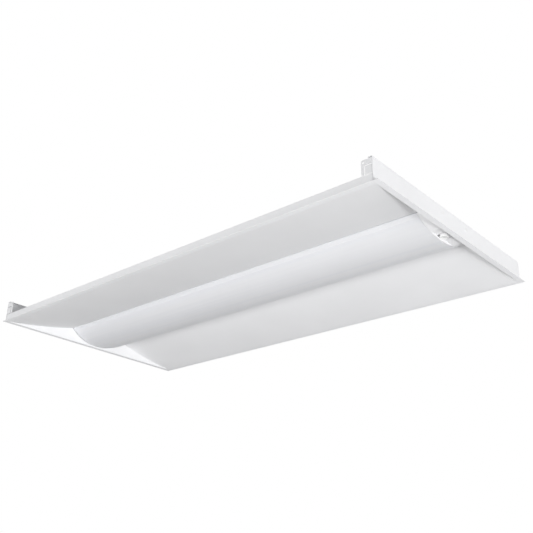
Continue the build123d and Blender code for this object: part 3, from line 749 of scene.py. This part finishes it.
class Fasteners:
    """Every rivet and screw of the light."""

    rivet = BlindRivet()
    box_screw = CrossScrew()
    lid_screw = CrossScrew(
        head_radius=3.5 * MM,
        head_height=1.5 * MM,
        shank_radius=1.7 * MM,
        recess_width=0.8 * MM,
        recess_depth=0.9 * MM,
    )

    def build(self, paints: Paints) -> None:
        """Model and dress them all.

        Args:
            paints: The materials.
        """
        self.end_rivets(paints)
        self.driver_screws(paints)
        self.ground_screw(paints)
        self.captive_screw(paints)

    def end_rivets(self, paints: Paints) -> None:
        """Two rivets at each end, through plate and angle.

        Args:
            paints: The materials.
        """
        for end, way in (("sensor_end", 1), ("plain_end", -1)):
            node = f"end_rivets_{end}"
            low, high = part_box(node)
            face = high.x - self.rivet.head_height if way > 0 else low.x + self.rivet.head_height
            height = (low.z + high.z) / 2
            station = high.y - self.rivet.head_radius
            first = self.rivet.build(Vector((face, station, height)), Vector((way, 0, 0)))
            second = copy_moved(first, Vector((0, -2 * station, 0)))
            pair = joined([first, second], f"pull_rivets_{end}")
            paints.dress(pair, "painted_rivet")
            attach(pair, HOUSING)
            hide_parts(node)
            log.info("%s: two rivets", pair.name)

    def driver_screws(self, paints: Paints) -> None:
        """Two screws down through the box's top.

        Args:
            paints: The materials.
        """
        low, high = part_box("driver_screws")
        seat = high.z - self.box_screw.head_height
        middle = (low.y + high.y) / 2
        start = low.x + self.box_screw.head_radius
        end = high.x - self.box_screw.head_radius
        first = self.box_screw.build(Vector((start, middle, seat)), UP, seat - low.z)
        pair = row_along_x(first, end - start, 2, "driver_cross_screws")
        paints.dress(pair, "zinc_plate")
        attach(pair, HOUSING)
        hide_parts("driver_screws")
        log.info("%s: two screws", pair.name)

    def ground_screw(self, paints: Paints) -> None:
        """Green screw inside the box's end wall.

        Args:
            paints: The materials.
        """
        low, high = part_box("ground_screw")
        seat = high.x - self.box_screw.head_height
        place = Vector((seat, (low.y + high.y) / 2, (low.z + high.z) / 2))
        screw = self.box_screw.build(place, Vector((1, 0, 0)), seat - low.x)
        screw.name = "ground_cross_screw"
        paints.dress(screw, "green_screw")
        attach(screw, HOUSING)
        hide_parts("ground_screw")
        log.info("%s: one screw", screw.name)

    def captive_screw(self, paints: Paints) -> None:
        """Captive screw of the access lid, which moves with the lid.

        Args:
            paints: The materials.
        """
        low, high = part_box("lid_screw")
        seat = high.z - self.lid_screw.head_height
        place = Vector(((low.x + high.x) / 2, (low.y + high.y) / 2, seat))
        screw = self.lid_screw.build(place, UP, seat - low.z)
        screw.name = "lid_cross_screw"
        paints.dress(screw, "zinc_plate")
        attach(screw, "access_lid")
        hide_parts("lid_screw")
        log.info("%s: one screw", screw.name)


# -------- lens
@dataclass(frozen=True)
class Arch:
    """Circle that the underside of the lens and of its cover follows across the width."""

    low: float
    half_chord: float = 94.4 * MM
    edge_height: float = 32.0 * MM
    cut_height: float = 31.0 * MM  # where the long edges of a strip on it are cut

    @property
    def radius(self) -> float:
        """Radius of the circle."""
        rise = self.edge_height - self.low
        return (self.half_chord**2 + rise**2) / (2 * rise)

    @property
    def axis_height(self) -> float:
        """Height of its centre above the ceiling flange."""
        return self.low + self.radius

    def strip(self, name: str, span: tuple[float, float], lift: float, facets: int) -> Piece:
        """Curved strip on the circle, open to both ends.

        Args:
            name: Name of the strip.
            span: Where it starts and ends along the length.
            lift: How far it lies outside the circle.
            facets: Number of facets in the full circle.

        Returns:
            The strip as one object, with no thickness yet.
        """
        start, end = span
        deselect()
        bpy.ops.mesh.primitive_cylinder_add(
            vertices=facets,
            radius=self.radius + lift,
            depth=end - start,
            end_fill_type="NOTHING",
            location=((start + end) / 2, 0.0, self.axis_height),
            rotation=(0.0, math.pi / 2, 0.0),
        )
        strip = new_piece(name)
        with editing(strip, "SELECT"):
            point = (0, 0, self.cut_height)
            bpy.ops.mesh.bisect(plane_co=point, plane_no=(0, 0, 1), clear_outer=True)
        return strip


@dataclass
class LensFlutes:
    """Shallow flutes drawn along the outside of the arched lens."""

    lift: float = 0.06 * MM
    crest: float = 0.16 * MM
    wall: float = 0.4 * MM
    facets: int = 720
    end_lean: float = 14.0 / 32.0
    end_gap: float = 0.15 * MM
    stray: float = 0.1  # how far off a facet line an edge may lie, in facets
    crease: float = 60.0

    def build(self, paints: Paints) -> None:
        """Model the fluted skin and let it move with the lens.

        Args:
            paints: The materials.
        """
        low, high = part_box("lens")
        arch = Arch(low.z)
        skin = arch.strip("lens_flutes", (low.x, high.x), self.lift, self.facets)
        with editing(skin):
            pick("EDGE", lambda edge: self.is_crest(edge, arch.axis_height))
            grow = (arch.radius + self.crest) / (arch.radius + self.lift)
            middle = (0.0, 0.0, arch.axis_height)
            bpy.ops.transform.resize(value=(1.0, grow, grow), center_override=middle)
        apply_modifier(skin, "SOLIDIFY", thickness=self.wall, offset=-1.0)
        with editing(skin, "SELECT"):
            # The plain end is cut along the leaning end reflector, as the lens itself is.
            foot = Vector((low.x + self.end_gap - self.end_lean * low.z, 0.0, 0.0))
            normal = Vector((1.0, 0.0, -self.end_lean)).normalized()
            bpy.ops.mesh.bisect(plane_co=foot, plane_no=normal, clear_inner=True, use_fill=True)
        smooth(skin, self.crease)
        paints.dress(skin, "lens_acrylic")
        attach(skin, "lens")
        log.info("%s: %d faces", skin.name, len(skin.data.polygons))

    def is_crest(self, edge: bmesh.types.BMEdge, axis_height: float) -> bool:
        """Whether an edge runs lengthwise at every other facet line."""
        first, second = (v.co for v in edge.verts)
        if abs(first.x - second.x) < MM:
            return False
        step = 2 * math.pi / self.facets
        turn = math.atan2(first.y, axis_height - first.z) / step
        return round(turn) % 2 == 1 and abs(turn - round(turn)) < self.stray


@dataclass
class CoverLip:
    """Thin lip on the sensor cover that stands up to the end of the lens."""

    depth: float = 10.0 * MM
    lens_gap: float = 0.3 * MM
    recess: float = 0.1 * MM
    facets: int = 360
    edge_round: float = 0.15 * MM
    edge_angle: float = 1.0  # radians, above which an edge is rounded

    def build(self, paints: Paints) -> None:
        """Model the lip in the gap between lens and cover.

        Args:
            paints: The materials.
        """
        lens_low, lens_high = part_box("lens")
        span = (lens_high.x + self.lens_gap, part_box("sensor_cover")[0].x)
        lip = Arch(lens_low.z).strip("cover_edge_lip", span, -self.recess, self.facets)
        apply_modifier(lip, "SOLIDIFY", thickness=self.depth, offset=-1.0)
        rounding = {"width": self.edge_round, "segments": 2, "angle_limit": self.edge_angle}
        apply_modifier(lip, "BEVEL", limit_method="ANGLE", **rounding)
        smooth(lip)
        paints.dress(lip, "cover_plastic")
        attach(lip, HOUSING)
        log.info("%s: %d faces", lip.name, len(lip.data.polygons))


# -------- sensor
@dataclass
class SensorWindow:
    """Milky window of the sensor: a low dome of rings cut into small facets."""

    sides: int = 18
    ring_step: float = 1.35 * MM
    ring_rise: tuple[float, ...] = (0.42 * MM, 0.26 * MM, 0.14 * MM)
    groove: float = 0.09 * MM
    faceted: float = 0.3  # least downward share of a face's normal for it to get its groove
    crease: float = 12.0

    def build(self, paints: Paints) -> None:
        """Model the window in place of the plain one.

        Args:
            paints: The materials.
        """
        low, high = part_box("sensor_eye")
        centre = (low + high) / 2
        radius = (high.x - low.x) / 2
        rise = sum(self.ring_rise)
        deselect()
        bpy.ops.mesh.primitive_cylinder_add(
            vertices=self.sides,
            radius=radius,
            depth=high.z - low.z - rise,
            location=(centre.x, centre.y, (low.z + rise + high.z) / 2),
        )
        window = new_piece("sensor_window")
        with editing(window):
            pick("FACE", facing(-UP))
            for index, depth in enumerate(self.ring_rise):
                bpy.ops.mesh.inset(thickness=self.ring_step, depth=depth)
                turn = math.pi / self.sides * (1 if index % 2 == 0 else -1)
                bpy.ops.transform.rotate(value=turn, orient_axis="Z", center_override=centre)
            bpy.ops.mesh.poke()
            pick("FACE", lambda face: face.normal.z < -self.faceted)
            for depth in (-self.groove, self.groove):
                bpy.ops.mesh.inset(thickness=self.groove, depth=depth, use_individual=True)
        smooth(window, self.crease)
        paints.dress(window, "eye_plastic")
        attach(window, HOUSING)
        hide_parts("sensor_eye")
        log.info("%s: %d faces", window.name, len(window.data.polygons))


# -------- LED boards
class Row(Enum):
    """The two rows of boards, by side."""

    LEFT = "left"
    RIGHT = "right"


class Place(Enum):
    """The two boards of a row, by the end that they lie nearer to."""

    PLAIN = "plain_end"
    SENSOR = "sensor_end"


@dataclass
class LedPackages:
    """White packages with a shallow well of resin, in a row on each board."""

    side: float = 3.0 * MM
    height: float = 0.7 * MM
    rim: float = 0.35 * MM
    well: float = 0.18 * MM
    level: float = 0.02 * MM  # how closely a face's height is matched
    per_board: int = 18

    def build(self, paints: Paints) -> None:
        """Model one row for each board.

        Args:
            paints: The materials.
        """
        for row in Row:
            for place in Place:
                self.build_row(paints, f"led_packages_{row.value}_{place.value}")

    def build_row(self, paints: Paints, node: str) -> None:
        """Model the packages of one board in place of the plain ones.

        Args:
            paints: The materials.
            node: The frame's node that they stand for.
        """
        low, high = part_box(node)
        pitch = (high.x - low.x - self.side) / (self.per_board - 1)
        middle = (low + high) / 2
        first = self.package(Vector((low.x + self.side / 2, middle.y, middle.z)))
        row = row_along_x(first, pitch, self.per_board, node.replace("packages", "wells"))
        paints.dress(row, "led_resin", "connector_plastic")
        for face in row.data.polygons:
            inner = face.normal.z < -FACING and face.area < (self.side - 2 * self.rim) ** 2
            flat = abs(face.center.z - low.z - self.well) < self.level
            face.material_index = 0 if inner and flat else 1
        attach(row, HOUSING)
        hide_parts(node)
        log.info("%s: %d packages", row.name, self.per_board)

    def package(self, centre: Vector) -> Piece:
        """Model one package with its well open downwards."""
        package = block("led_package", centre, (self.side, self.side, self.height))
        with editing(package):
            pick("FACE", facing(-UP))
            bpy.ops.mesh.inset(thickness=self.rim, depth=0.0)
            bpy.ops.mesh.inset(thickness=self.well, depth=-self.well)
        return package


@dataclass
class BoardConnectors:
    """Low wire-to-board connectors, each with two wire entries and a release tab."""

    length: float = 9.0 * MM
    width: float = 8.0 * MM
    height: float = 4.2 * MM
    inset: float = 1.0 * MM
    entry_wall: float = 1.1 * MM
    entry_taper: float = 0.05 * MM
    entry_depth: float = 3.5 * MM
    tab_margin: float = 2.2 * MM
    tab_taper: float = 0.2 * MM
    tab: float = 0.35 * MM
    edge_round: float = 0.15 * MM

    def build(self, paints: Paints) -> None:
        """Model a connector at both ends of every board.

        Args:
            paints: The materials.
        """
        pieces = []
        for row in Row:
            for place in Place:
                low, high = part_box(f"led_board_{row.value}_{place.value}")
                middle = (low + high) / 2
                piece = self.connector(Vector((low.x + self.inset, middle.y, low.z)))
                pieces += [piece, copy_mirrored(piece, middle.x)]
        group = joined(pieces, "board_plug_sockets")
        paints.dress(group, "connector_plastic")
        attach(group, HOUSING)
        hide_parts("board_connectors")
        log.info("%s: %d connectors", group.name, len(pieces))

    def connector(self, start: Vector) -> Piece:
        """Model one connector, its wire side towards -X.

        Args:
            start: Middle of the wire side's upper edge, on the board.

        Returns:
            The connector as one object.
        """
        centre = start + Vector((self.length / 2, 0, -self.height / 2))
        piece = block("connector", centre, (self.length, self.width, self.height))
        with editing(piece, "SELECT"):
            bpy.ops.mesh.bisect(plane_co=centre, plane_no=(0, 1, 0))
            pick("FACE", facing(Vector((-1, 0, 0))))
            for thickness, depth in ((self.entry_wall, 0.0), (self.entry_taper, -self.entry_depth)):
                bpy.ops.mesh.inset(thickness=thickness, depth=depth, use_individual=True)
            pick("FACE", facing(-UP))
            bpy.ops.mesh.inset(thickness=self.tab_margin, depth=0.0)
            bpy.ops.mesh.inset(thickness=self.tab_taper, depth=-self.tab)
        apply_modifier(piece, "BEVEL", width=self.edge_round, segments=1, limit_method="ANGLE")
        return piece


# -------- weld marks
@dataclass
class WeldMarks:
    """Shallow rings left by the spot welds that hold the sheets together."""

    radius: float = 2.5 * MM
    height: float = 0.12 * MM
    sides: int = 20
    rim: float = 0.35 * MM
    slope: float = 0.4 * MM
    dish: float = 0.6  # depth of the middle, as a share of the height
    top: float = 0.9  # what lies above this share of the height is the top
    edge_round: float = 0.06 * MM
    crease: float = 50.0
    spacing: float = 148.0 * MM
    per_row: int = 8
    overlap: float = 36.5 * MM
    sheet: float = 0.8 * MM
    flange_inset: float = 7.0 * MM

    def build(self, paints: Paints) -> None:
        """Model the rows along the reflectors' edges and over the tray's flanges.

        Args:
            paints: The materials.
        """
        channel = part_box("back_channel")[1]
        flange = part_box("led_tray")[1].y - self.flange_inset
        for side, label in ((-1, "left"), (1, "right")):
            wall = Vector((0, side * (channel.y + self.sheet), self.overlap))
            out = Vector((0, side, 0))
            self.row(paints, f"edge_weld_marks_{label}", wall, out, "white_paint")
            top = Vector((0, side * flange, channel.z))
            self.row(paints, f"tray_weld_marks_{label}", top, UP, "galvanised_sheet")

    def row(self, paints: Paints, name: str, middle: Vector, out: Vector, slot: str) -> None:
        """Model one row of marks.

        Args:
            paints: The materials.
            name: Name of the row.
            middle: Middle of the row, on the sheet's face.
            out: The way that the face points.
            slot: Finish of the sheet.
        """
        start = middle - Vector((self.spacing * (self.per_row - 1) / 2, 0, 0))
        row = row_along_x(self.mark(start, out), self.spacing, self.per_row, name)
        paints.dress(row, slot)
        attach(row, HOUSING)
        log.info("%s: %d marks", name, self.per_row)

    def mark(self, place: Vector, out: Vector) -> Piece:
        """Model one mark: a low raised ring with a dished middle."""
        mark = disc("weld_mark", place, out, self.radius, self.height, self.sides)
        top = self.top * self.height
        with editing(mark):
            pick("FACE", facing(out))
            bpy.ops.mesh.inset(thickness=self.rim, depth=0.0)
            bpy.ops.mesh.inset(thickness=self.slope, depth=-self.dish * self.height)
            pick("EDGE", lambda edge: all((v.co - place).dot(out) > top for v in edge.verts))
            bpy.ops.mesh.bevel(offset=self.edge_round, segments=2)
        smooth(mark, self.crease)
        return mark


# -------- studio
@dataclass(frozen=True)
class Lamp:
    """A soft square lamp, aimed at the light. Its place is in degrees and metres."""

    name: str
    azimuth: float
    elevation: float
    distance: float
    size: float
    power: float
    mirrored: bool = True

    def build(self) -> None:
        """Hang the lamp, out of the camera's sight, and mirrored in metal only where that is wanted."""
        data = bpy.data.lights.new(self.name, "AREA")
        data.shape = "SQUARE"
        data.size = self.size
        data.energy = self.power
        lamp = bpy.data.objects.new(self.name, data)
        bpy.context.scene.collection.objects.link(lamp)
        turn = math.radians(self.azimuth)
        rise = math.radians(self.elevation)
        level = math.cos(rise)
        way = Vector((level * math.cos(turn), level * math.sin(turn), math.sin(rise)))
        lamp.location = way * self.distance
        lamp.rotation_euler = (-way).to_track_quat("-Z", "Y").to_euler()
        lamp.visible_camera = False
        lamp.visible_glossy = self.mirrored
        log.info("lamp %s: %.1f W", self.name, self.power)


@dataclass
class Studio:
    """Floor, world, lamps and the camera that stands where the photograph was taken from."""

    floor_drop: float = 3.6
    floor_size: float = 24.0
    floor_roughness: float = 0.9
    ambient: float = 0.205
    lamps: tuple[Lamp, ...] = (
        Lamp("key", -14, -17, 6.5, 2.6, 112.0),
        Lamp("key_low", -14, -10, 6.5, 2.2, 38.0),
        Lamp("front", 0, -28, 3.6, 0.5, 42.0),
        Lamp("side", -95, -17, 3.4, 0.8, 57.0),
        Lamp("top", 130, 50, 4.5, 4.0, 90.0, mirrored=False),
    )
    camera_place: tuple[float, float, float] = (1.248937, -1.310409, -0.694385)
    azimuth: float = 41.748
    elevation: float = -23.764
    roll: float = 1.344
    focal_pixels: float = 773.629
    image_width: float = 533.0
    sensor: float = 36.0
    clip_start: float = 0.05

    def build(self) -> None:
        """Set the whole scene up."""
        self.world()
        self.floor()
        for lamp in self.lamps:
            lamp.build()
        self.camera()
        bpy.context.scene.view_settings.view_transform = "Standard"

    def world(self) -> None:
        """Plain even light, with a white sheet for the camera and in reflections."""
        world = bpy.data.worlds.new("studio")
        bpy.context.scene.world = world
        world.use_nodes = True
        graph = Graph(world.node_tree)
        world.node_tree.nodes.clear()
        path = graph.put("LightPath").outputs
        seen = graph.math("MAXIMUM", path["Is Camera Ray"], path["Is Glossy Ray"])
        seen = graph.math("MAXIMUM", seen, path["Is Transmission Ray"])
        plain = graph.put("Background", {"Color": rgba(PURE_WHITE), "Strength": self.ambient})
        sheet = graph.put("Background", {"Color": rgba(PURE_WHITE), "Strength": 1.0})
        mix = graph.put("MixShader", {0: seen, 1: plain.outputs[0], 2: sheet.outputs[0]})
        graph.put("OutputWorld", {"Surface": mix.outputs[0]})

    def floor(self) -> None:
        """Pale floor of the room, a ceiling's height below the light."""
        deselect()
        bpy.ops.mesh.primitive_plane_add(size=self.floor_size, location=(0, 0, -self.floor_drop))
        floor = new_piece("floor")
        material = bpy.data.materials.new("floor_paint")
        material.use_nodes = True
        graph = Graph(material.node_tree)
        shader = material.node_tree.nodes["Principled BSDF"].inputs
        cloud = graph.noise(graph.place(), scale=1.5, detail=4.0)
        tint = graph.grey(graph.spread(cloud, 0.86, 0.9, start=0.3, end=0.7))
        material.node_tree.links.new(tint, shader["Base Color"])
        shader["Roughness"].default_value = self.floor_roughness
        floor.data.materials.append(material)

    def camera(self) -> None:
        """Camera below the light, looking up along its length."""
        turn = math.radians(self.azimuth)
        tilt = math.radians(self.elevation)
        lean = math.radians(self.roll)
        back = Vector((math.sin(turn) * math.cos(tilt), -math.cos(turn) * math.cos(tilt), math.sin(tilt)))
        level = (-back).cross(UP).normalized()
        above = level.cross(-back)
        right = level * math.cos(lean) + above * math.sin(lean)
        up = above * math.cos(lean) - level * math.sin(lean)
        data = bpy.data.cameras.new("camera")
        data.sensor_width = self.sensor
        data.lens = self.sensor * self.focal_pixels / self.image_width
        data.clip_start = self.clip_start
        camera = bpy.data.objects.new("camera", data)
        bpy.context.scene.collection.objects.link(camera)
        rotation = Matrix((right, up, back)).transposed().to_4x4()
        camera.matrix_world = Matrix.Translation(self.camera_place) @ rotation
        bpy.context.scene.camera = camera


def main() -> None:
    """Dress the frame, add the fine pieces and set up the studio."""
    paints = Paints()
    paints.dress_frame()
    Fasteners().build(paints)
    LensFlutes().build(paints)
    CoverLip().build(paints)
    SensorWindow().build(paints)
    LedPackages().build(paints)
    BoardConnectors().build(paints)
    WeldMarks().build(paints)
    Studio().build()


if __name__ == "__main__":
    main()
